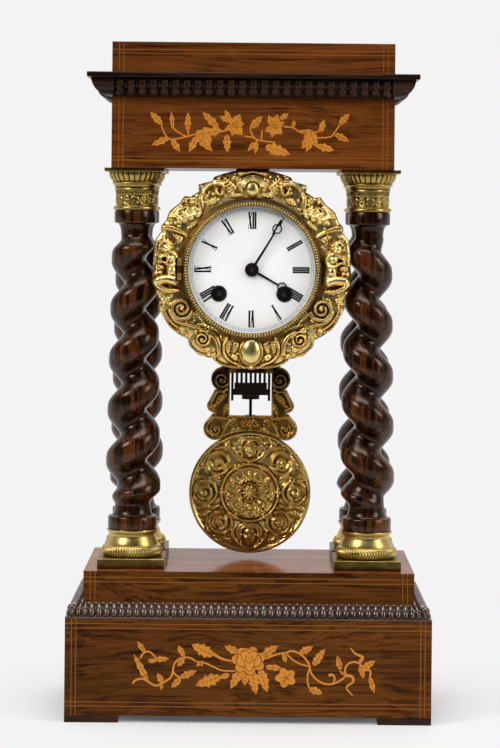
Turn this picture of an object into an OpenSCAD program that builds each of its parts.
// Portico mantel clock: wood portico, gilt mounts, spring-driven striking movement, gridiron pendulum.
// Millimetres. X to the right, Y to the back, Z up. The origin is under the middle of the base.

/* [Base and plinth] */
// Width of the base box
base_w = 260; // [230:1:315]
// Depth of the base box
base_d = 136; // [120:1:165]
// Height of the base box above the feet
base_h = 68.5; // [50:0.5:85]
// Height of the feet
foot_h = 5; // [3:0.5:9]
// Length of a foot along the front
foot_w = 38; // [25:1:50]
// Depth of a foot
foot_d = 30; // [20:1:45]
// Thickness of the carcass boards
board_t = 9; // [6:0.5:12]
// Set-back of the plinth from the base on the front and the sides
plinth_step = 12; // [8:0.5:16]
// Height of the plinth above the base
plinth_h = 32; // [26:0.5:42]
// Height of the gadrooned moulding
gadroon_h = 11.5; // [7:0.5:13]
// Spacing of the gadroons
gadroon_pitch = 5.3; // [4:0.1:7]
// Height of one gadroon over the valley beside it
gadroon_rise = 1.5; // [0.8:0.1:2]

/* [Columns] */
// Side of the square foot plate of a column base
plate_w = 48; // [42:0.5:52]
// Height of the square foot plate
plate_h = 7.3; // [5:0.1:9]
// Distance of a foot plate from the side edge of the plinth
col_edge_x = 9; // [5:0.5:14]
// Distance of a foot plate from the front and back edges of the plinth
col_edge_y = 10; // [5:0.5:14]
// Radius of the swelling of the column base
torus_r = 22; // [20:0.1:23.5]
// Height of the turned part of the column base
turned_h = 19.2; // [16:0.1:24]
// Length of a wood column between its two mounts
column_l = 231.4; // [200:0.1:260]
// Radius of the collar at the bottom of a column
collar_low_r = 17.8; // [16:0.1:19]
// Radius of the collar at the top of a column
collar_top_r = 15.2; // [13:0.1:16.5]
// Height of each collar
collar_h = 9.6; // [7:0.1:12]
// Radius of the neck above the bottom collar
neck_low_r = 12.8; // [11:0.1:14]
// Radius of the neck under the top collar
neck_top_r = 10.2; // [9:0.1:11.5]
// Length of the hollow curve between a collar and its neck
cove_l = 7; // [5:0.1:9]
// Rise of the twist in one turn
twist_pitch = 36.6; // [30:0.1:46]
// Radius over the twist at the bottom
twist_low_r = 20.3; // [18:0.1:21.5]
// Radius over the twist at the top
twist_top_r = 16.7; // [15:0.1:19]
// Depth of the valley of the twist
twist_deep = 9.7; // [6:0.1:10.5]
// Radius of the rod inside each column
rod_r = 2.4; // [1.8:0.1:3]
// Gap around the rod
rod_play = 0.3; // [0.2:0.05:0.6]

/* [Capitals and entablature] */
// Side of the square plate on top of a capital
abacus_w = 43; // [40:0.5:47]
// Height of the square plate of a capital
abacus_h = 2.4; // [1.8:0.1:4]
// Height of the capital under its square plate
bell_cap_h = 27.8; // [24:0.1:33]
// Radius of the fluted swelling of a capital
echinus_r = 19.3; // [17.5:0.1:21]
// Number of flutes around a capital
flute_n = 28; // [20:1:36]
// Reach of the entablature past the column axes, sideways
ent_reach_x = 16.5; // [14:0.5:24]
// Reach of the entablature past the column axes, front and back
ent_reach_y = 24; // [20:0.5:28]
// Height of the frieze under the cornice
frieze_h = 51.1; // [42:0.1:62]
// Height of the attic over the cornice
attic_h = 22.6; // [18:0.1:30]
// Thickness of the lid of the attic
lid_t = 6; // [4:0.5:8]
// Thickness of the bottom board of the entablature
soffit_t = 10; // [8:0.5:14]
// Overhang of the cornice
cornice_out = 17; // [12:0.5:20]
// Height of the flat top of the cornice
fillet_h = 4.1; // [3:0.1:6]
// Height of the beaded part of the cornice
bead_h = 12.6; // [10:0.1:16]
// Set-back of the beaded part under the flat top
bead_back = 4; // [2:0.5:6]
// Spacing of the beads
bead_pitch = 7.95; // [6:0.05:10]
// Height of one bead over the valley beside it
bead_rise = 2.6; // [1.5:0.1:3.5]

/* [Dial and door] */
// Drop of the dial centre under the entablature
dial_drop = 72.6; // [72.6:0.1:80]
// Radius of the gilt surround
surround_r = 72; // [66:0.1:72.2]
// Height of the surround at its crest
surround_h = 12; // [8:0.5:14]
// Depth of the notches in the outline of the surround
notch_deep = 3.2; // [1:0.1:5]
// Gap between the surround and the front columns' axes, front to back
surround_y = 14; // [13:0.5:20]
// Radius of the dial opening
sight_r = 45.7; // [42:0.1:46]
// Width of the door ring around the glass
door_w = 3.6; // [3:0.1:4]
// Gap around the door
door_gap = 0.4; // [0.3:0.05:0.8]
// Thickness of the glass
glass_t = 1.4; // [1:0.1:2]
// Radius of the hinge pin
pin_r = 0.8; // [0.6:0.05:1]
// Radius of a hinge knuckle
knuckle_r = 1.7; // [1.4:0.1:2]
// Length of one hinge knuckle
knuckle_l = 5; // [4:0.1:7]
// Gap between moving pieces that run on each other
run_gap = 0.1; // [0.06:0.01:0.15]
// Wall of the drum
drum_wall = 1.5; // [1:0.1:2.5]
// Thickness of the dial
dial_t = 1.6; // [1.2:0.1:2]
// Rise of the domed dial from its edge to the middle
dial_dome = 1; // [0.5:0.1:1.5]
// Radius of a winding hole
wind_r = 5; // [4:0.1:5.5]
// Sideways place of the winding holes
wind_x = 23.7; // [22.5:0.1:24.5]
// Drop of the winding holes under the dial centre
wind_drop = 17.4; // [16:0.1:18]
// Length of the minute hand
minute_l = 44.3; // [38:0.1:44.8]
// Length of the hour hand
hour_l = 31.6; // [27:0.1:34]
// Distance of the ring on the minute hand from the dial centre
minute_moon = 34.6; // [28:0.1:36]
// Distance of the ring on the hour hand from the dial centre
hour_moon = 25.2; // [19:0.1:27]
// Radius of the ring near the tip of a hand
moon_r = 3.6; // [2.8:0.1:4.2]
// Thickness of the hands
hand_t = 0.6; // [0.4:0.05:0.8]
// Angle of the minute hand from twelve
minute_a = 31.3; // [0:0.1:359]
// Angle of the hour hand from twelve
hour_a = 119.5; // [0:0.1:359]

/* [Movement] */
// Gap between the two plates
plate_gap = 30; // [30:0.5:34]
// Thickness of the plates
plate_t = 2; // [1.6:0.1:2.4]
// Radius of the back plate
plate_r = 44; // [43:0.1:47]
// Depth of the motion work between the front plate and the dial
motion_d = 7.4; // [7.4:0.1:9]
// Share of a tooth taken away for play
tooth_play = 0.2; // [0.15:0.01:0.3]
// Height of a tooth over the pitch circle, in modules
tooth_up = 0.7; // [0.6:0.01:0.8]
// Depth of a tooth under the pitch circle, in modules
tooth_down = 1.1; // [1:0.01:1.25]
// Radius of a fine arbor
arbor_r = 0.6; // [0.5:0.05:0.65]
// Radius of a long arbor
stout_r = 0.9; // [0.8:0.05:1.2]
// Radius of a pivot
pivot_r = 0.4; // [0.3:0.05:0.45]
// Radius of a barrel
barrel_r = 15.3; // [14:0.1:15.6]
// Wall of a barrel
barrel_wall = 1; // [0.8:0.1:1.4]
// Turns of a mainspring
spring_turns = 7; // [5:1:9]
// Teeth of the escape wheel
escape_n = 36; // [36:12:36]
// Radius of the escape wheel
escape_r = 9; // [8.6:0.1:9.2]
// Half the angle that the anchor spans on the escape wheel
anchor_half = 52.5; // [52.5:10:52.5]
// Gap between the pallets and the escape wheel at mid swing
pallet_gap = 0.3; // [0.2:0.05:0.4]
// Radius of the bell
bell_r = 38; // [34:0.5:39]
// Depth of the bell
bell_d = 19; // [15:0.5:21]
// Wall of the bell
bell_wall = 1.8; // [1.4:0.1:2.4]

/* [Pendulum] */
// Distance of the pendulum behind the back plate
pend_back = 21; // [19:0.5:23]
// Radius of the bob
bob_r = 45.3; // [38:0.1:46]
// Gap between the bob and the plinth
bob_gap = 3; // [2.5:0.1:8]
// Half the depth of the bob at its middle
bob_half = 8; // [6:0.5:9]
// Width of the window in the pendulum frame
window_w = 31.1; // [30:0.1:33]
// Height of the window in the pendulum frame
window_h = 31.4; // [30:0.1:34]
// Thickness of the pendulum frame
frame_t = 2.2; // [1.6:0.1:2.6]
// Number of bars in the gridiron
bar_n = 9; // [7:2:9]
// Spacing of the bars
bar_pitch = 3.43; // [3:0.01:3.5]
// Radius of a bar
bar_r = 0.95; // [0.7:0.05:1.1]
// Radius of the rating nut
nut_r = 6.6; // [5:0.1:7]
// Radius of the screw of the bob
screw_r = 1.3; // [1:0.05:1.5]

/* [Hidden] */
// Which sub-part is drawn
$fn = 96;
e = 0.01;
z_base = foot_h + base_h;
z_plinth = z_base + plinth_h;
z_col = z_plinth + plate_h + turned_h;
z_cap = z_col + column_l;
z_ent = z_cap + bell_cap_h + abacus_h;
z_cornice = z_ent + frieze_h;
cornice_h = bead_h + fillet_h;
z_top = z_cornice + cornice_h + attic_h;
plinth_w = base_w - 2 * plinth_step;
plinth_d = base_d - plinth_step;
y_back = base_d / 2;
y_plinth = y_back - plinth_d;
col_x = plinth_w / 2 - col_edge_x - plate_w / 2;
col_y_front = y_plinth + col_edge_y + plate_w / 2;
col_y_rear = y_back - col_edge_y - plate_w / 2;
bore_r = rod_r + rod_play;
ent_w = 2 * (col_x + ent_reach_x);
y_ent_front = col_y_front - ent_reach_y;
y_ent_back = col_y_rear + ent_reach_y;
ent_d = y_ent_back - y_ent_front;
dial_z = z_ent - dial_drop;
// Depths in the movement are counted forwards from the middle of the base.
surround_f = -col_y_front + surround_y;
door_r = sight_r + door_w;
hole_r = door_r + door_gap;
drum_in = hole_r + 0.3;
drum_out = drum_in + drum_wall;
flange_r = drum_out + 5;
flange_t = 1.5;
dial_r = drum_in - 0.4;
dial_f = surround_f + 1;
plate_f = dial_f - dial_t - motion_d - plate_t;
back_f = plate_f - plate_gap - plate_t;
drum_end = back_f - 1;
front_plate_r = drum_in - 0.5;
hinge_x = -(hole_r + knuckle_r + 0.5);
hinge_f = surround_f + surround_h - 4.5;
door_f = surround_f + 2;
door_top = surround_f + 10;
glass_f = dial_f + dial_dome + 4.6;
hour_f = dial_f + dial_dome + 1;
minute_f = hour_f + hand_t + 1;
hinge_half = 1.5 * knuckle_l + 2 * run_gap;
hub_r = 5;
// Places of the arbors, seen from the front: across, up.
going_b = [wind_x, -wind_drop];
strike_b = [-wind_x, -wind_drop];
great_n = 84;
great_m = 0.4;
great_p = 12;
inter_n = 72;
inter_m = 0.36;
centre_p = 10;
centre_n = 80;
centre_m = 0.3;
third_p = 8;
third_n = 90;
third_m = 0.22;
escape_p = 8;
escape_up = 18;
escape_c = [0, escape_up];
anchor_c = [0, escape_up + escape_r / cos(anchor_half)];
function apart(n, p, m) = (n + p) * m / 2;
function span(a, b) = sqrt((a[0] - b[0]) * (a[0] - b[0]) + (a[1] - b[1]) * (a[1] - b[1]));
function bearing(a, b) = atan2(b[1] - a[1], b[0] - a[0]);
// The place at distance ra from a and rb from b, on the right-hand side going from a to b.
function meet(a, b, ra, rb) =
    let (d = span(a, b))
    let (t = (ra * ra - rb * rb + d * d) / (2 * d))
    let (h = sqrt(ra * ra - t * t))
    let (ux = (b[0] - a[0]) / d)
    let (uy = (b[1] - a[1]) / d)
    [a[0] + ux * t + uy * h, a[1] + uy * t - ux * h];
function beside(a, r, w) = [a[0] + r * cos(w), a[1] + r * sin(w)];
inter_c = meet([0, 0], going_b, apart(inter_n, centre_p, inter_m), apart(great_n, great_p, great_m));
third_c = meet([0, 0], escape_c, apart(centre_n, third_p, centre_m), apart(third_n, escape_p, third_m));
strike_n = 72;
strike_m = 0.28;
pin_p = 8;
pin_n = 60;
lock_p = 8;
lock_n = 56;
lock_m = 0.24;
fly_p = 8;
strike_c = beside(strike_b, apart(great_n, great_p, great_m), 75);
pin_c = beside(strike_c, apart(strike_n, pin_p, strike_m), 80);
lock_c = beside(pin_c, apart(pin_n, lock_p, strike_m), 60);
fly_c = beside(lock_c, apart(lock_n, fly_p, lock_m), 120);
hammer_c = [-34, 9.5];
cannon_n = 12;
minute_n = 36;
motion_m = 0.5;
minute_p = 10;
hour_n = 40;
motion_apart = apart(cannon_n, minute_n, motion_m);
hour_m = 2 * motion_apart / (minute_p + hour_n);
minute_c = beside([0, 0], motion_apart, 60);
pillar_c = [[27, 27], [-27, 27], [10, -37], [-10, -37]];
foot_c = [[0, 40], [34.6, -24], [-34.6, -24]];
click_p = [9.5, 4];
ratchet_r = 6.5;
square_w = 3.4;
winder_r = 2.9;
bell_f = back_f - pend_back - 9;
stand_c = [14, -4];
head_r = 3.2;
hammer_a = 128;
hammer_gap = 0.6;
head_c = beside([0, 0], bell_r + head_r + hammer_gap, hammer_a);
// The pendulum: heights counted up from the bob's middle.
pend_f = back_f - pend_back;
bob_z = z_plinth + bob_gap + bob_r;
axis_z = dial_z + anchor_c[1];
frame_f = pend_f + 2.8;
win_z = bob_z + bob_r + 12.1;
block_z = win_z + 14.9;
block_h = 9.1;
block_t = 4.4;
wing_h = 4.4;
bars_z = win_z + 36.6;
nut_h = 2.6;
slide_gap = 0.3;
blade_w = 4;
blade_t = 0.3;
rod_w = 3;
rod_t = 1.6;
clip_z = axis_z - 5;
fork_z = dial_z - 8;

// A piece drawn as seen from the front: across, up, and forwards.
module facing() {
    translate([0, 0, dial_z]) rotate([90, 0, 0]) children();
}

// A flat piece between two depths behind the front plate's back face.
module layer(u0, u1) {
    translate([0, 0, plate_f - u1]) linear_extrude(height = u1 - u0) children();
}

module at(c) {
    translate([c[0], c[1], 0]) children();
}

module ring(r1, r0, h) {
    difference() {
        cylinder(r = r1, h = h);
        translate([0, 0, -1]) cylinder(r = r0, h = h + 2);
    }
}

function invol(r, rb) = r <= rb ? 0 : sqrt(r * r / (rb * rb) - 1) * 180 / PI - acos(rb / r);
function half_tooth(r, rp, n) =
    let (rb = rp * cos(25))
    90 / n * (1 - tooth_play) + invol(rp, rb) - invol(max(r, rb), rb);
function gear_points(n, m, turn) =
    let (rp = n * m / 2)
    let (radii = [rp - tooth_down * m, rp, rp + tooth_up * m])
    [
        for (i = [0 : n - 1])
            for (k = [0 : 5])
                let (r = radii[k < 3 ? k : 5 - k])
                let (w = turn + 360 * i / n + (k < 3 ? -1 : 1) * half_tooth(r, rp, n))
                [r * cos(w), r * sin(w)]
    ];
function wheel_points(n, m, turn) =
    let (rp = n * m / 2)
    let (radii = [rp - tooth_down * m, rp + tooth_up * m])
    [
        for (i = [0 : n - 1])
            for (k = [0 : 3])
                let (r = radii[k < 2 ? k : 3 - k])
                let (w = turn + 360 * i / n + (k < 2 ? -1 : 1) * half_tooth(r, rp, n))
                [r * cos(w), r * sin(w)]
    ];
// The turn of wheel b that sets its teeth in the gaps of wheel a, which has turn ta.
function in_mesh(a, b, ta, na, nb) =
    let (w = bearing(a, b))
    w + 180 + 180 / nb + (w - ta) * na / nb;

module pinion(n, m, turn, u0, u1) {
    layer(u0, u1) polygon(gear_points(n, m, turn));
}

module wheel(n, m, turn, u0, u1, hub, arms) {
    r = n * m / 2 - tooth_down * m;
    layer(u0, u1)
        difference() {
            polygon(wheel_points(n, m, turn));
            difference() {
                circle(r = r - 1.1);
                circle(r = hub);
                for (i = [0 : arms - 1])
                    rotate(turn + i * 360 / arms) translate([0, -0.6]) square([r, 1.2]);
            }
        }
}

module arbor(u0 = 0.2, u1 = plate_gap - 0.2, r = arbor_r) {
    translate([0, 0, plate_f - u1]) cylinder(r = r, h = u1 - u0);
}

module pivots(front = plate_t - 0.3, back = plate_gap + plate_t - 0.3) {
    translate([0, 0, plate_f - back]) cylinder(r = pivot_r, h = back + front);
}

// The lobed edge of a moulding: a row of half-round lobes between two plain ends.
function lobes(len, n, pitch, rise) =
    let (x0 = (len - n * pitch) / 2)
    [
        for (i = [0 : n - 1])
            for (k = [0 : 5])
                [x0 + i * pitch + pitch / 2 * (1 - cos(30 * k)), rise * sin(30 * k)]
    ];

// A moulding along X: its section, with the lobes laid on the slope between two of its points.
module moulding(len, n, pitch, rise, section, p0, p1, valley) {
    slope = atan2(p0[0] - p1[0], p1[1] - p0[1]);
    run = sqrt(pow(p1[0] - p0[0], 2) + pow(p1[1] - p0[1], 2));
    row = lobes(len, n, pitch, rise);
    intersection() {
        rotate([90, 0, 90]) linear_extrude(height = len) polygon(section);
        translate([0, p0[0], p0[1]]) rotate([slope, 0, 0]) translate([0, 0, -6])
            linear_extrude(height = run + 12)
                polygon(concat(
                    [[0, -30], [0, valley + rise]],
                    [[row[0][0] - 0.5, valley + rise]],
                    [for (p = row) [p[0], p[1] + valley]],
                    [[len - row[0][0], valley], [len - row[0][0] + 0.5, valley + rise]],
                    [[len, valley + rise], [len, -30]]
                ));
    }
}

// Three mitred lengths around the front and the sides of a box, as wanted.
module mitred(w, d, out, front) {
    if (front) {
        intersection() {
            translate([-w / 2 - out, 0, 0]) mirror([0, 1, 0]) children(0);
            translate([0, 0, -1]) linear_extrude(height = 60)
                polygon([[-w / 2 - out, -out], [w / 2 + out, -out], [w / 2, 0], [-w / 2, 0]]);
        }
    } else {
        for (s = [0, 1]) mirror([s, 0, 0])
            intersection() {
                translate([w / 2, -out, 0]) mirror([1, 0, 0]) rotate([0, 0, 90]) children(0);
                translate([0, 0, -1]) linear_extrude(height = 60)
                    polygon([[w / 2, 0], [w / 2 + out, -out], [w / 2 + out, d], [w / 2, d]]);
            }
    }
}

function gadroon_section() =
    let (o = plinth_step)
    let (h = gadroon_h)
    concat(
        [[0, 0], [o, 0], [o, 1.2]],
        [for (k = [1 : 6]) [o - o * (1 - cos(13.5 * k)), 1.2 + (h - 2) * sin(13.5 * k)]],
        [[2, h - 0.8], [2, h], [0, h]]
    );

function cornice_section() =
    let (o = cornice_out - bead_back)
    concat(
        [[0, 0]],
        [for (k = [1 : 6]) [o * sin(15 * k), bead_h * (1 - cos(15 * k))]],
        [[cornice_out, bead_h], [cornice_out, cornice_h], [0, cornice_h]]
    );

module gadroons(front) {
    inner = front ? plinth_w : plinth_d;
    len = front ? plinth_w + 2 * plinth_step : plinth_d + plinth_step;
    translate([0, y_plinth, z_base]) mitred(plinth_w, plinth_d, plinth_step, front)
        moulding(len, floor(inner / gadroon_pitch) - 1, gadroon_pitch, gadroon_rise,
            gadroon_section(), [plinth_step, 1.2], [2, gadroon_h - 0.8], 0.8);
}

module cornice(front) {
    inner = front ? ent_w : ent_d;
    len = front ? ent_w + 2 * cornice_out : ent_d + cornice_out;
    translate([0, y_ent_front, z_cornice]) mitred(ent_w, ent_d, cornice_out, front)
        moulding(len, floor(inner / bead_pitch) - 1, bead_pitch, bead_rise,
            cornice_section(), [0, 0], [cornice_out - bead_back, bead_h], 1.2);
}

module at_columns() {
    for (x = [-col_x, col_x])
        for (y = [col_y_front, col_y_rear])
            translate([x, y, 0]) children();
}

// Base and plinth

module base_feet() {
    color("#2b1712")
    for (sx = [-1, 1])
        for (sy = [-1, 1])
            translate([sx * (base_w - foot_w) / 2, sy * (base_d - foot_d) / 2, foot_h / 2])
                cube([foot_w, foot_d, foot_h], center = true);
}

module base_box() {
    color("#5a2a1b")
    difference() {
        translate([-base_w / 2, -base_d / 2, foot_h]) cube([base_w, base_d, base_h]);
        translate([-base_w / 2 + board_t, -base_d / 2 + board_t, foot_h - e])
            cube([base_w - 2 * board_t, base_d - 2 * board_t, base_h - board_t + e]);
        translate([-plinth_w / 2 + board_t, y_plinth + board_t, foot_h])
            cube([plinth_w - 2 * board_t, plinth_d - 2 * board_t, base_h + 1]);
    }
}

module base_moulding_front() {
    color("#24120e") gadroons(true);
}

module base_moulding_sides() {
    color("#24120e") gadroons(false);
}

module plinth_box() {
    color("#5a2a1b")
    difference() {
        translate([-plinth_w / 2, y_plinth, z_base]) cube([plinth_w, plinth_d, plinth_h]);
        translate([-plinth_w / 2 + board_t, y_plinth + board_t, z_base - e])
            cube([plinth_w - 2 * board_t, plinth_d - 2 * board_t, plinth_h - board_t + e]);
        at_columns() translate([0, 0, z_base]) cylinder(r = bore_r, h = plinth_h + 1);
    }
}

// Columns

module column_base_shape() {
    r = torus_r;
    h = turned_h;
    difference() {
        union() {
            translate([-plate_w / 2, -plate_w / 2, 0]) cube([plate_w, plate_w, plate_h]);
            translate([0, 0, plate_h]) rotate_extrude()
                polygon(concat(
                    [[0, -1], [r - 1, -1]],
                    [for (k = [0 : 6]) [r - 2.6 + 2.6 * cos(30 * k - 90), 3.9 + 3.9 * sin(30 * k - 90)]],
                    [[r - 3.2, 8.2]],
                    [for (k = [0 : 5]) [r - 5.2 + 1.8 * cos(18 * k), 8.4 + (h - 11.6) * sin(18 * k)]],
                    [[r - 5.2, h - 3], [r - 3.7, h - 2.6], [r - 3.4, h], [0, h]]
                ));
        }
        translate([0, 0, -1]) cylinder(r = bore_r, h = plate_h + h + 2);
    }
}

module column_bases() {
    color("#b08a3e") at_columns() translate([0, 0, z_plinth]) column_base_shape();
}

twist_l = column_l - 2 * (collar_h + cove_l);
twist_rows = ceil(twist_l / twist_pitch * 12);
twist_n = 20;
// Radius of the twist at height z and angle w: round ridges and hollows that die out at both necks.
function ridge(z, w, turn) =
    let (t = z / twist_l)
    let (top = twist_low_r + (twist_top_r - twist_low_r) * t)
    let (neck = neck_low_r + (neck_top_r - neck_low_r) * t)
    let (a = w - turn - 360 * z / twist_pitch)
    let (r = top - twist_deep * pow((1 - cos(a)) / 2, 1.6))
    let (k = min(1, min(z, twist_l - z) / (r > neck ? 12 : 26)))
    neck + (r - neck) * (k * k * (3 - 2 * k));

module twist(turn) {
    polyhedron(
        points = [
            for (i = [0 : twist_rows])
                for (j = [0 : twist_n - 1])
                    let (z = twist_l * i / twist_rows)
                    let (w = 360 * j / twist_n)
                    let (r = ridge(z, w, turn))
                    [r * cos(w), r * sin(w), z]
        ],
        faces = concat(
            [
                for (i = [0 : twist_rows - 1])
                    for (j = [0 : twist_n - 1])
                        for (half = [0, 1])
                            let (a = i * twist_n + j)
                            let (b = i * twist_n + (j + 1) % twist_n)
                            half == 0 ? [a, a + twist_n, b + twist_n] : [a, b + twist_n, b]
            ],
            [[for (j = [0 : twist_n - 1]) j]],
            [[for (j = [0 : twist_n - 1]) (twist_rows + 1) * twist_n - 1 - j]]
        )
    );
}

module collar(r, neck, h, cove) {
    rotate_extrude()
        polygon(concat(
            [[0, 0], [r - 1, 0], [r - 0.3, 0.5], [r, 1.4], [r, h - 1.4], [r - 0.3, h - 0.5], [r - 1, h]],
            [for (k = [0 : 5]) [neck + 0.2 + (r - 1.8 - neck) * (1 - sin(18 * k)), h + cove * (1 - cos(18 * k))]],
            [[neck - 2, h + cove], [neck - 2, h + cove + 3], [0, h + cove + 3]]
        ));
}

module column(turn) {
    difference() {
        union() {
            collar(collar_low_r, neck_low_r, collar_h, cove_l);
            translate([0, 0, collar_h + cove_l]) twist(turn);
            translate([0, 0, column_l]) mirror([0, 0, 1])
                collar(collar_top_r, neck_top_r, collar_h, cove_l);
        }
        translate([0, 0, -1]) cylinder(r = bore_r, h = column_l + 2);
    }
}

module column_front_left() {
    color("#6b3a25") translate([-col_x, col_y_front, z_col]) column(216);
}

module column_front_right() {
    color("#6b3a25") translate([col_x, col_y_front, z_col]) mirror([1, 0, 0]) column(318);
}

module column_rear_left() {
    color("#6b3a25") translate([-col_x, col_y_rear, z_col]) column(12);
}

module column_rear_right() {
    color("#6b3a25") translate([col_x, col_y_rear, z_col]) mirror([1, 0, 0]) column(284);
}

module capital_shape() {
    h = bell_cap_h;
    r = echinus_r;
    difference() {
        union() {
            rotate_extrude()
                polygon([
                    [0, 0], [r - 3.5, 0], [r - 3.3, 1.2], [r - 3.5, 2.4], [r - 4.6, 2.8],
                    [r - 5.1, 4.5], [r - 4.9, h - 16], [r - 4.2, h - 12], [r - 3.5, h - 9.2],
                    [r - 2.6, h - 8.9], [r - 2.3, h - 8.3], [r - 2.6, h - 7.6], [r - 3.2, h - 7.3],
                    [r - 3.2, h + e], [0, h + e]
                ]);
            intersection() {
                rotate_extrude()
                    polygon([
                        [0, h - 7.4], [r - 2.4, h - 7.4], [r - 1.1, h - 5.4], [r - 0.3, h - 3],
                        [r, h - 1], [r, h + e], [0, h + e]
                    ]);
                linear_extrude(height = h + 5)
                    polygon([
                        for (i = [0 : flute_n - 1])
                            for (k = [0 : 3])
                                let (w = 360 * (i + k / 4) / flute_n)
                                let (q = r - 1.2 + 1.2 * sin(45 * k))
                                [q * cos(w), q * sin(w)]
                    ]);
            }
            translate([-abacus_w / 2, -abacus_w / 2, h]) cube([abacus_w, abacus_w, abacus_h]);
        }
        translate([0, 0, -1]) cylinder(r = bore_r, h = h + abacus_h + 2);
    }
}

module capitals() {
    color("#b08a3e") at_columns() translate([0, 0, z_cap]) capital_shape();
}

tail = 10;
z_rod = z_plinth - board_t - tail;
module column_rods() {
    color("#777777")
    at_columns() translate([0, 0, z_rod])
        cylinder(r = rod_r, h = z_ent + soffit_t + tail - z_rod);
}

stud_r = 2;
stud_x = 7;
module hex_nut(r, bore, h) {
    difference() {
        cylinder(r = r, h = h, $fn = 6);
        translate([0, 0, -1]) cylinder(r = bore, h = h + 2);
    }
}

module retaining_nuts() {
    color("#8a8a8a") {
        at_columns() translate([0, 0, z_plinth - board_t - 4]) hex_nut(5, rod_r + 0.05, 4);
        at_columns() translate([0, 0, z_ent + soffit_t]) hex_nut(5, rod_r + 0.05, 4);
        for (s = [-1, 1])
            translate([s * stud_x, -saddle_f, z_ent + soffit_t]) hex_nut(4.4, stud_r + 0.05, 3.6);
        facing() translate([0, 0, bell_f - bell_d - 3.2]) hex_nut(4.4, 2.05, 3.2);
    }
}

// Entablature

module entablature_box() {
    h = z_top - z_ent - lid_t;
    color("#5a2a1b")
    difference() {
        translate([-ent_w / 2, y_ent_front, z_ent]) cube([ent_w, ent_d, h]);
        translate([-ent_w / 2 + board_t, y_ent_front + board_t, z_ent + soffit_t])
            cube([ent_w - 2 * board_t, ent_d - 2 * board_t, h]);
        at_columns() translate([0, 0, z_ent - 1]) cylinder(r = bore_r, h = soffit_t + 2);
        for (s = [-1, 1])
            translate([s * stud_x, -saddle_f, z_ent - 1]) cylinder(r = stud_r + rod_play, h = soffit_t + 2);
    }
}

module entablature_lid() {
    color("#5a2a1b")
    translate([-ent_w / 2, y_ent_front, z_top - lid_t]) cube([ent_w, ent_d, lid_t]);
}

module cornice_front() {
    color("#4a2317") cornice(true);
}

module cornice_sides() {
    color("#4a2317") cornice(false);
}

// Movement case and dial

saddle_f = surround_f - 24;
saddle_w = 2 * stud_x + 10;
module drum() {
    color("#a8843c")
    facing() {
        translate([0, 0, drum_end]) ring(drum_out, drum_in, surround_f - drum_end);
        translate([0, 0, surround_f - flange_t]) ring(flange_r, drum_out - 0.5, flange_t);
    }
}

module drum_saddle() {
    h = dial_drop;
    color("#a8843c")
    facing()
        translate([0, 0, saddle_f]) {
            difference() {
                translate([-saddle_w / 2, drum_out - 6, -12]) cube([saddle_w, h - drum_out + 6, 24]);
                translate([0, 0, -13]) cylinder(r = drum_out + 0.15, h = 26);
            }
            for (s = [-1, 1])
                translate([s * stud_x, h - 1, 0]) rotate([-90, 0, 0])
                    cylinder(r = stud_r, h = soffit_t + 7);
        }
}

notch_at = [16, 43, 75, -26, -45, -74];
function edge(w) =
    surround_r - 0.3 - notch_deep * max([
        for (c = notch_at)
            let (d = abs((w > 90 ? 180 - w : w) - c))
            d > 9 ? 0 : pow(cos(10 * d), 2)
    ]);
module surround_outline() {
    polygon([for (i = [0 : 143]) let (w = -90 + 2.5 * i) edge(w) * [cos(w), sin(w)]]);
}

module bezel_surround() {
    r = hole_r;
    h = surround_h;
    w = surround_r - hole_r;
    color("#b8923f")
    facing()
        translate([0, 0, surround_f])
            difference() {
                union() {
                    intersection() {
                        rotate_extrude()
                            polygon(concat(
                                [[r, 0], [r, 2.4], [r + 2, 3.4]],
                                [
                                    for (k = [1 : 9])
                                        [r + 2 + (w - 2) * k / 10, 3.4 + (h - 3.4) * sin(18 * k) * (1 - 0.02 * k)]
                                ],
                                [[surround_r, 2.2], [surround_r, 0]]
                            ));
                        translate([0, 0, -1]) linear_extrude(height = h + 2) surround_outline();
                    }
                    for (s = [-1, 1])
                        translate([hinge_x, s * (knuckle_l + run_gap), hinge_f - surround_f])
                            hinge_lug(knuckle_l, hinge_f - surround_f - 2);
                }
                translate([hinge_x, -hinge_half - 0.2, hinge_f - surround_f]) rotate([-90, 0, 0])
                    cylinder(r = pin_r + 0.02, h = 2 * hinge_half + 0.4);
                translate([hinge_x - knuckle_r - 0.4, -knuckle_l / 2 - run_gap, 2.4])
                    cube([2 * knuckle_r + 1, knuckle_l + 2 * run_gap, h]);
                translate([hinge_x - 2 * knuckle_r, -hinge_half, hinge_f - surround_f])
                    cube([knuckle_r * 3.2, 2 * hinge_half, h]);
            }
}

// One hinge knuckle on a post.
module hinge_lug(len, post) {
    translate([0, -len / 2, 0]) rotate([-90, 0, 0]) cylinder(r = knuckle_r, h = len);
    translate([-knuckle_r, -len / 2, -post]) cube([2 * knuckle_r, len, post]);
}

module hinge_pin() {
    color("#8c7a4a")
    facing()
        translate([hinge_x, -hinge_half, hinge_f]) rotate([-90, 0, 0])
            cylinder(r = pin_r, h = 2 * hinge_half);
}

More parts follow.
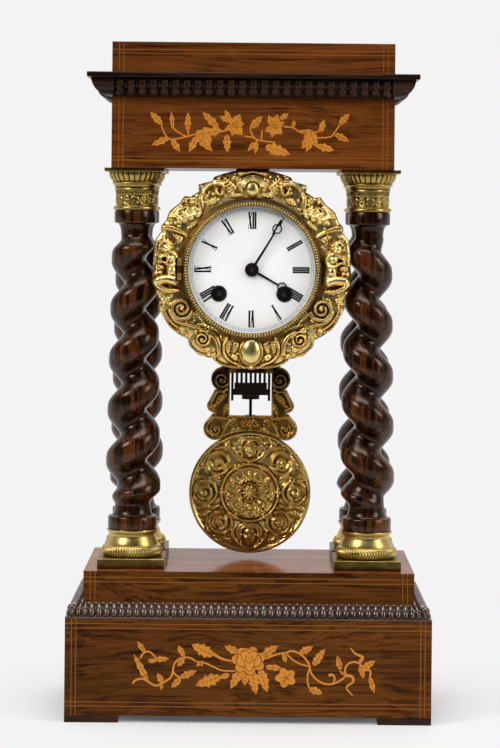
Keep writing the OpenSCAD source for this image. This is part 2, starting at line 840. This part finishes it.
module door_ring() {
    color("#b8923f")
    facing()
        difference() {
            union() {
                translate([0, 0, door_f]) rotate_extrude()
                    polygon([
                        [sight_r + 1.3, 1.2], [door_r - 1, 0], [door_r, 0.6], [door_r, 6],
                        [door_r - 0.5, 7.4],
                        [door_r - 1.8, door_top - door_f], [sight_r + 0.5, door_top - door_f - 0.6],
                        [sight_r, 6.5], [sight_r, glass_f - door_f], [sight_r + 1.3, glass_f - door_f - 0.4]
                    ]);
                translate([hinge_x, -knuckle_l / 2, hinge_f]) rotate([-90, 0, 0])
                    cylinder(r = knuckle_r, h = knuckle_l);
                translate([hinge_x, -knuckle_l / 2, hinge_f - 0.2])
                    cube([door_r + hinge_x < 0 ? -hinge_x - door_r + 1.5 : 1, knuckle_l, knuckle_r]);
            }
            translate([0, 0, glass_f - run_gap / 2])
                cylinder(r = sight_r + door_w / 2, h = glass_t + run_gap);
            translate([hinge_x, -knuckle_l, hinge_f]) rotate([-90, 0, 0])
                cylinder(r = pin_r + run_gap, h = 2 * knuckle_l);
        }
}

module door_glass() {
    color("#dfe8ea", 0.3)
    facing() translate([0, 0, glass_f]) cylinder(r = sight_r + door_w / 2 - 0.1, h = glass_t);
}

module dial() {
    dome = (dial_r * dial_r + dial_dome * dial_dome) / (2 * dial_dome);
    color("#f4f1e8")
    facing()
        difference() {
            union() {
                translate([0, 0, dial_f - dial_t]) rotate_extrude()
                    polygon(concat(
                        [[0, 0], [dial_r, 0], [dial_r, dial_t]],
                        [
                            for (k = [9 : -1 : 0])
                                let (q = dial_r * k / 10)
                                [q, dial_t + dial_dome - dome + sqrt(dome * dome - q * q)]
                        ]
                    ));
                for (c = foot_c) at(c) translate([0, 0, plate_f + plate_t])
                    cylinder(r = 1.5, h = motion_d + 0.5);
            }
            translate([0, 0, dial_f - 5]) cylinder(r = 3.4, h = 10);
            for (c = [going_b, strike_b]) at(c) translate([0, 0, dial_f - 5]) cylinder(r = wind_r, h = 10);
        }
}

// Movement plates

module pivot_hole(c, r = pivot_r + run_gap / 2) {
    at(c) translate([0, 0, -100]) cylinder(r = r, h = 200);
}

module front_plate() {
    color("#b5933f")
    facing() {
        difference() {
            translate([0, 0, plate_f]) cylinder(r = front_plate_r, h = plate_t);
            pivot_hole([0, 0], 1.2 + run_gap);
            for (c = [inter_c, third_c, escape_c, anchor_c, strike_c, pin_c, lock_c, fly_c, hammer_c])
                pivot_hole(c);
            for (c = [going_b, strike_b]) pivot_hole(c, winder_r + run_gap);
        }
        for (s = [-1, 1])
            at([s * (going_b[0] + click_p[0]), going_b[1] + click_p[1]])
                translate([0, 0, plate_f + plate_t - e]) cylinder(r = 0.9, h = 3);
        at(minute_c) translate([0, 0, plate_f + plate_t - e]) cylinder(r = 0.8, h = motion_d - 1);
    }
}

module back_plate() {
    color("#b5933f")
    facing()
        difference() {
            translate([0, 0, back_f]) cylinder(r = plate_r, h = plate_t);
            for (c = [[0, 0], inter_c, third_c, escape_c, pin_c, lock_c, fly_c]) pivot_hole(c);
            for (c = [anchor_c, hammer_c, strike_c]) pivot_hole(c, stout_r + 0.3);
            for (c = [going_b, strike_b]) pivot_hole(c, 1.5 + run_gap);
        }
}

module plate_pillars() {
    g = plate_gap;
    color("#b5933f")
    facing()
        for (c = pillar_c) at(c) translate([0, 0, plate_f - g])
            rotate_extrude()
                polygon([
                    [0, 0], [3, 0], [3, 1.5], [2, 3], [2.6, g / 2 - 2], [3, g / 2], [2.6, g / 2 + 2],
                    [2, g - 3], [3, g - 1.5], [3, g], [0, g]
                ]);
}

module suspension_cock() {
    up = anchor_c[1];
    reach = pend_back + blade_w / 2 + 2;
    color("#b5933f")
    facing()
        difference() {
            union() {
                translate([-6, up + 4, back_f - reach]) cube([12, 6, reach]);
                translate([-3, up - 3, back_f - 10]) cube([6, 8, 2]);
            }
            pivot_hole(anchor_c);
            translate([0, up, pend_f - blade_w / 2 - 0.2]) linear_extrude(height = blade_w + 0.4)
                polygon([
                    for (p = [[-1, 3], [1, 3], [1, 7], [-1, 7]])
                        [p[0] * (blade_t / 2 + 0.06 + p[1] * tan(4.2)), p[1]]
                ]);
        }
}

module bell_stand() {
    a = bearing(stand_c, [0, 0]);
    color("#6e6e6e")
    facing() {
        at(stand_c) translate([0, 0, back_f - 2]) cylinder(r = 4.5, h = 2);
        at(stand_c) translate([0, 0, bell_f - 9]) cylinder(r = 2, h = back_f - bell_f + 8);
        at(stand_c) translate([0, 0, bell_f - 9]) sphere(r = 2.5);
        translate([0, 0, bell_f - 9]) sphere(r = 2.5);
        at(stand_c) translate([0, 0, bell_f - 9]) rotate([0, 90, a])
            cylinder(r = 2, h = span(stand_c, [0, 0]));
        translate([0, 0, bell_f - bell_d - 3.6]) cylinder(r = 2, h = bell_d - 5.4);
        translate([0, 0, bell_f - bell_d + bell_wall + 0.2]) cylinder(r = 3.6, h = 3);
    }
}

module bell() {
    r = bell_r;
    d = bell_d;
    t = bell_wall;
    color("#c9c3b4")
    facing()
        translate([0, 0, bell_f])
            rotate_extrude()
                polygon(concat(
                    [for (k = [0 : 8]) [2.1 + (r - 2.1) * cos(11.25 * k), -d * pow(sin(11.25 * k), 1.0)]],
                    [for (k = [8 : -1 : 0])
                        [2.1 + (r - t - 2.1) * cos(11.25 * k), -(d - t) * pow(sin(11.25 * k), 1.0)]]
                ));
}

// Hands and motion work

// A hand with a hollow ring near its tip, pointing up.
module hand_outline(len, moon, hub, bore) {
    difference() {
        union() {
            circle(r = hub);
            polygon([[-1, 0], [1, 0], [0.6, moon], [-0.6, moon]]);
            translate([0, moon]) circle(r = moon_r);
            polygon([[-1.1, moon + moon_r - 0.5], [1.1, moon + moon_r - 0.5], [0.15, len], [-0.15, len]]);
        }
        translate([0, moon]) circle(r = moon_r - 1);
        circle(r = bore);
    }
}

pipe_hour = 2.7;
pipe_cannon = 1.95;
bore_cannon = 1.1;
module minute_hand() {
    color("#1b1b22")
    facing() translate([0, 0, minute_f]) rotate([0, 0, -minute_a]) linear_extrude(height = hand_t)
        hand_outline(minute_l, minute_moon, hub_r, pipe_cannon + 0.03);
}

module hour_hand() {
    color("#1b1b22")
    facing() translate([0, 0, hour_f]) rotate([0, 0, -hour_a]) linear_extrude(height = hand_t)
        hand_outline(hour_l, hour_moon, hub_r - 0.6, pipe_hour + 0.03);
}

module hand_collet() {
    color("#1b1b22")
    facing() translate([0, 0, minute_f + hand_t + 0.05])
        difference() {
            cylinder(r1 = 3, r2 = 2.2, h = 1);
            translate([0, 0, -1]) cylinder(r = 1 + run_gap, h = 3);
        }
}

module cannon_pinion() {
    end = plate_f - minute_f - hand_t + 0.05;
    color("#8d8d92")
    facing()
        difference() {
            union() {
                pinion(cannon_n, motion_m, 0, -5, -plate_t - 0.7);
                arbor(end, -4.5, pipe_cannon);
            }
            translate([0, 0, plate_f]) cylinder(r = bore_cannon, h = 40);
        }
}

module minute_wheel() {
    t = in_mesh([0, 0], minute_c, 0, cannon_n, minute_n);
    color("#b5933f")
    facing()
        difference() {
            at(minute_c) {
                wheel(minute_n, motion_m, t, -4.6, -3.4, 3.2, 4);
                pinion(minute_p, hour_m, 0, -7, -4.5);
            }
            pivot_hole(minute_c, 0.8 + run_gap);
        }
}

module hour_wheel() {
    t = in_mesh(minute_c, [0, 0], 0, minute_p, hour_n);
    color("#b5933f")
    facing()
        difference() {
            union() {
                wheel(hour_n, hour_m, t, -6.8, -5.6, 4, 4);
                arbor(plate_f - hour_f - hand_t, -5.6, pipe_hour);
            }
            translate([0, 0, plate_f]) cylinder(r = pipe_cannon + run_gap, h = 40);
        }
}

// Going train

module barrel(c, turn) {
    color("#b5933f")
    facing()
        difference() {
            at(c) {
                layer(20, 22.5) polygon(wheel_points(great_n, great_m, turn));
                arbor(1.6, 20, barrel_r);
            }
            at(c) arbor(1.6 + barrel_wall, 21, barrel_r - barrel_wall);
            pivot_hole(c, winder_r + run_gap);
        }
}

// A spiral strip in its barrel, thin at the hub and let out to the wall.
module mainspring(c) {
    n = 16 * spring_turns;
    r0 = winder_r + 0.4;
    r1 = barrel_r - barrel_wall - 0.3;
    t = 0.4;
    color("#50555c")
    facing() at(c) layer(3.2, 20.4)
        polygon(concat(
            [for (i = [0 : n]) let (r = r0 + (r1 - t - r0) * i / n) r * [cos(22.5 * i), sin(22.5 * i)]],
            [for (i = [n : -1 : 0]) let (r = r0 + t + (r1 - t - r0) * i / n) r * [cos(22.5 * i), sin(22.5 * i)]]
        ));
}

module winder(c) {
    teeth = 16;
    color("#8d8d92")
    facing() at(c) {
        arbor(-plate_t - 0.6, plate_gap - 0.3, winder_r);
        arbor(plate_gap - 0.4, plate_gap + plate_t - 0.2, 1.5);
        layer(-4.4, -plate_t - 0.5)
            polygon([
                for (i = [0 : teeth - 1])
                    for (k = [0, 1])
                        let (w = 360 / teeth * (i + 0.12 * k))
                        (k == 0 ? ratchet_r : ratchet_r - 1.1) * [cos(w), sin(w)]
            ]);
        translate([-square_w / 2, -square_w / 2, plate_f + 4.3])
            cube([square_w, square_w, dial_f - plate_f - 4.8]);
    }
}

module click() {
    p = click_p;
    difference() {
        union() {
            at(p) arbor(-4.4, -plate_t - 0.6, 2.1);
            layer(-4.4, -plate_t - 0.6)
                polygon([p, [p[0] + 0.7, p[1] + 2], [1.6, 8.2], [1.2, 6.95]]);
        }
        pivot_hole(p, 0.9 + run_gap);
    }
}

module going_barrel() {
    barrel(going_b, 0);
}

module going_mainspring() {
    mainspring(going_b);
}

module going_arbor() {
    winder(going_b);
}

module going_click() {
    color("#8d8d92") facing() at(going_b) click();
}

module intermediate_wheel() {
    color("#b5933f")
    facing() at(inter_c) {
        arbor();
        pivots();
        pinion(great_p, great_m, in_mesh(going_b, inter_c, 0, great_n, great_p), 19.6, 23);
        wheel(inter_n, inter_m, 0, 25, 26.2, 2, 4);
    }
}

module centre_wheel() {
    color("#b5933f")
    facing() {
        arbor(0.2, plate_gap - 0.2, 1.2);
        arbor(plate_gap - 0.3, plate_gap + plate_t - 0.3, pivot_r);
        arbor(plate_f - minute_f - hand_t - 0.8, 0.3, 1);
        pinion(centre_p, inter_m, in_mesh(inter_c, [0, 0], 0, inter_n, centre_p), 24.4, 26.8);
        wheel(centre_n, centre_m, 0, 8, 9.2, 2.4, 5);
    }
}

module third_wheel() {
    color("#b5933f")
    facing() at(third_c) {
        arbor();
        pivots();
        pinion(third_p, centre_m, in_mesh([0, 0], third_c, 0, centre_n, third_p), 7.4, 9.8);
        wheel(third_n, third_m, 0, 14, 15, 2, 5);
    }
}

// Thin pointed teeth that lean the way the wheel turns.
module escape_wheel() {
    r = escape_r;
    step = 360 / escape_n;
    first = 90 - anchor_half + step / 4;
    color("#b5933f")
    facing() at(escape_c) {
        arbor();
        pivots();
        pinion(escape_p, third_m, in_mesh(third_c, escape_c, 0, third_n, escape_p), 13.4, 15.6);
        layer(22, 22.8)
            difference() {
                polygon([
                    for (i = [0 : escape_n - 1])
                        for (k = [0 : 3])
                            let (q = [r - 1.3, r, r, r - 1.3][k])
                            let (w = first + step * i + [-1.6, -0.35, 0.35, 1.6][k])
                            q * [cos(w), sin(w)]
                ]);
                difference() {
                    circle(r = r - 2.2);
                    circle(r = 1.6);
                    for (i = [0 : 3]) rotate(90 * i) translate([0, -0.5]) square([r, 1]);
                }
            }
    }
}

// Anchor with two pointed pallets, its arbor, and the crutch that leads the pendulum.
module pallets() {
    a = anchor_half;
    r = escape_r + pallet_gap;
    up = anchor_c[1];
    nib = [r * sin(a), escape_up + r * cos(a)];
    out = [sin(a), cos(a)];
    side = [cos(a), -sin(a)];
    slot = rod_w / 2 + 0.25;
    color("#8d8d92")
    facing() {
        at(anchor_c) {
            arbor(0.2, plate_f - back_f + 7.8, stout_r);
            arbor(-plate_t + 0.3, 0.3, pivot_r);
            arbor(plate_f - back_f + 7.7, plate_f - back_f + 9.8, pivot_r);
        }
        for (s = [0, 1]) mirror([s, 0, 0]) layer(21.4, 23.4)
            polygon([
                [0, up - 2.2], nib + 2 * out - 0.55 * side, nib - 0.11 * side, nib + 0.11 * side,
                nib + 2 * out + 0.55 * side, nib + 3.4 * out, [3, up + 0.4], [0, up + 2.2]
            ]);
        at(anchor_c) translate([0, 0, back_f - 4.4]) cylinder(r = 2.2, h = 1.4);
        translate([-1, -10, back_f - 4.4]) cube([2, up + 10, 1.4]);
        translate([-slot - 1.2, -10, back_f - 4.4]) cube([2 * slot + 2.4, 4, 1.4]);
        for (s = [-1, 1])
            translate([s * (slot + 0.6) - 0.6, -10, pend_f - 2.4])
                cube([1.2, 4, back_f - 3.2 - pend_f + 2.4 - 0.2]);
    }
}

// Striking train

module strike_barrel() {
    barrel(strike_b, 0);
}

module strike_mainspring() {
    mainspring(strike_b);
}

module strike_arbor() {
    winder(strike_b);
}

module strike_click() {
    color("#8d8d92") facing() at(strike_b) mirror([1, 0, 0]) click();
}

module strike_wheel() {
    color("#b5933f")
    facing() at(strike_c) {
        arbor(0.2, plate_gap + plate_t + 2.4, stout_r);
        arbor(-plate_t + 0.3, 0.3, pivot_r);
        pinion(great_p, great_m, in_mesh(strike_b, strike_c, 0, great_n, great_p), 19.6, 23);
        wheel(strike_n, strike_m, 0, 25, 26.2, 2, 4);
    }
}

// Ninety steps for the blows of twelve hours with single half hours, a notch after each group.
module count_wheel() {
    color("#b5933f")
    facing() at(strike_c) translate([0, 0, back_f - 2])
        difference() {
            cylinder(r = 15.5, h = 1.2);
            translate([0, 0, -1]) cylinder(r = stout_r + 0.03, h = 4);
            for (h = [1 : 12])
                for (half = [0, 1])
                    rotate([0, 0, 4 * (h * (h + 1) / 2 + h - 1 + half)])
                        translate([13.2, -0.35, -1]) cube([4, 0.7, 4]);
        }
}

module pin_wheel() {
    color("#b5933f")
    facing() at(pin_c) {
        arbor();
        pivots();
        pinion(pin_p, strike_m, in_mesh(strike_c, pin_c, 0, strike_n, pin_p), 24.4, 26.8);
        wheel(pin_n, strike_m, 0, 16, 17, 2, 4);
        for (i = [0 : 9]) rotate([0, 0, 36 * i]) translate([7.4, 0, 0]) arbor(16.5, 19.2, 0.35);
    }
}

module locking_wheel() {
    color("#b5933f")
    facing() at(lock_c) {
        arbor();
        pivots();
        pinion(lock_p, strike_m, in_mesh(pin_c, lock_c, 0, pin_n, lock_p), 15.4, 17.6);
        wheel(lock_n, lock_m, 0, 10.5, 11.5, 1.8, 4);
    }
}

module fly() {
    color("#b5933f")
    facing() at(fly_c) {
        arbor();
        pivots();
        pinion(fly_p, lock_m, in_mesh(lock_c, fly_c, 0, lock_n, fly_p), 10, 12.2);
        translate([-5.4, -0.4, plate_f - 27]) cube([10.8, 0.8, 8]);
    }
}

module hammer() {
    w = bearing(hammer_c, head_c);
    l = span(hammer_c, head_c);
    f1 = bell_f + 1;
    to_pin = bearing(hammer_c, pin_c);
    color("#8d8d92")
    facing() {
        at(hammer_c) {
            arbor(0.2, plate_f - f1, stout_r);
            arbor(-plate_t + 0.3, 0.3, pivot_r);
            translate([0, 0, f1]) cylinder(r = 2.2, h = 3);
            translate([0, 0, f1 + 0.5]) rotate([0, 0, w]) translate([0, -0.8, 0]) cube([l, 1.6, 1.8]);
            rotate([0, 0, to_pin]) translate([0, -0.6, plate_f - 19]) cube([9, 1.2, 1.4]);
        }
        at(head_c) translate([0, 0, f1 - 6]) cylinder(r = head_r, h = 9);
    }
}

// Pendulum

module suspension_spring() {
    color("#50555c")
    translate([-blade_t / 2, -pend_f - blade_w / 2, clip_z - 2])
        cube([blade_t, blade_w, axis_z + 6 - clip_z + 2]);
}

module gridiron() {
    half = (bar_n - 1) / 2 * bar_pitch;
    y = -pend_f;
    color("#3a3228") {
        difference() {
            union() {
                translate([-rod_w / 2, y - rod_t / 2, bars_z + 2]) cube([rod_w, rod_t, clip_z - 6 - bars_z]);
                translate([-2, y - 3, clip_z - 5]) cube([4, 6, 5]);
            }
            translate([-blade_t / 2 - 0.1, y - 4, clip_z - 2.1]) cube([blade_t + 0.2, 8, 5]);
        }
        translate([-half - 1.6, y - 1.6, bars_z]) cube([2 * half + 3.2, 3.2, 4]);
        for (i = [0 : bar_n - 1])
            let (x = -half + i * bar_pitch)
            let (z = i == 0 || i == bar_n - 1 ? block_z - 4.3 : block_z + block_h / 2)
            translate([x, y, z]) cylinder(r = bar_r, h = bars_z - z + 0.5);
        difference() {
            union() {
                translate([-half + 1.6, y - block_t / 2, block_z]) cube([2 * half - 3.2, block_t, block_h]);
                translate([-half, y - 1.2, block_z]) cube([2 * half, 2.4, wing_h]);
            }
            translate([0, y, block_z - 1]) cylinder(r = screw_r + slide_gap, h = block_h / 2 + 0.4);
        }
    }
}

module rating_nut() {
    color("#c4a04a")
    translate([0, -pend_f, block_z - slide_gap - nut_h])
        difference() {
            cylinder(r = nut_r, h = nut_h);
            translate([0, 0, -1]) cylinder(r = screw_r + run_gap, h = nut_h + 2);
        }
}

// Right-hand scrolls of the pendulum frame, from its window's foot: top scroll, ear, wing.
module frame_side() {
    translate([20.4, 27]) circle(r = 9.2);
    translate([27.4, 7]) circle(r = 5.1);
    polygon([[20, 19], [27.2, 18.4], [31.9, 9.4], [27.4, 2], [20, 2]]);
    translate([26.5, -10]) circle(r = 8.6);
    polygon([[20, 1.2], [28.4, 1.2], [33.2, -4.6], [26.5, -10], [20, -14]]);
}

// Scrolled frame round the window, with the screw that the nut turns on.
module pendulum_frame() {
    y = -frame_f;
    top = win_z + window_h;
    color("#b8923f") {
        difference() {
            translate([0, y, 0]) rotate([90, 0, 0]) linear_extrude(height = frame_t)
                difference() {
                    union() {
                        for (s = [0, 1])
                            translate([0, win_z]) mirror([s, 0]) frame_side();
                        translate([-27.2, win_z - 14]) square([54.4, 33]);
                        translate([-22, win_z - 24]) square([44, window_h + 30]);
                        translate([0, top + 3]) circle(r = 12);
                    }
                    translate([-window_w / 2, win_z]) square([window_w, window_h]);
                    translate([0, bob_z]) circle(r = bob_r + 0.15);
                }
        }
        translate([-4, y - frame_t, win_z - 6]) cube([8, -pend_f - y + frame_t + 3, 6]);
        translate([0, -pend_f, win_z - 1]) cylinder(r = screw_r, h = block_z - win_z + 0.6);
    }
}

module bob() {
    b = bob_half;
    r = bob_r;
    m = (frame_f - frame_t / 2 - pend_f);
    color("#b8923f")
    translate([0, -pend_f, bob_z]) rotate([90, 0, 0])
        rotate_extrude()
            polygon([
                [0, -b + 1], [r * 0.45, -b + 1.4], [r * 0.8, -b + 3.2], [r - 1.2, -1.6], [r, -0.6],
                [r, m + 2], [r - 1.2, m + 3], [r - 3.5, m + 2.6], [r - 5, m + 3.4], [r * 0.7, b - 1.4],
                [r * 0.45, b - 0.6], [r * 0.3, b], [0, b + 1.2]
            ]);
}

base_feet();
base_box();
base_moulding_front();
base_moulding_sides();
plinth_box();
column_bases();
column_front_left();
column_front_right();
column_rear_left();
column_rear_right();
capitals();
column_rods();
retaining_nuts();
entablature_box();
entablature_lid();
cornice_front();
cornice_sides();
drum();
drum_saddle();
bezel_surround();
hinge_pin();
door_ring();
door_glass();
dial();
front_plate();
back_plate();
plate_pillars();
suspension_cock();
bell_stand();
bell();
minute_hand();
hour_hand();
hand_collet();
cannon_pinion();
minute_wheel();
hour_wheel();
going_barrel();
going_mainspring();
going_arbor();
going_click();
intermediate_wheel();
centre_wheel();
third_wheel();
escape_wheel();
pallets();
strike_barrel();
strike_mainspring();
strike_arbor();
strike_click();
strike_wheel();
count_wheel();
pin_wheel();
locking_wheel();
fly();
hammer();
suspension_spring();
gridiron();
rating_nut();
pendulum_frame();
bob();
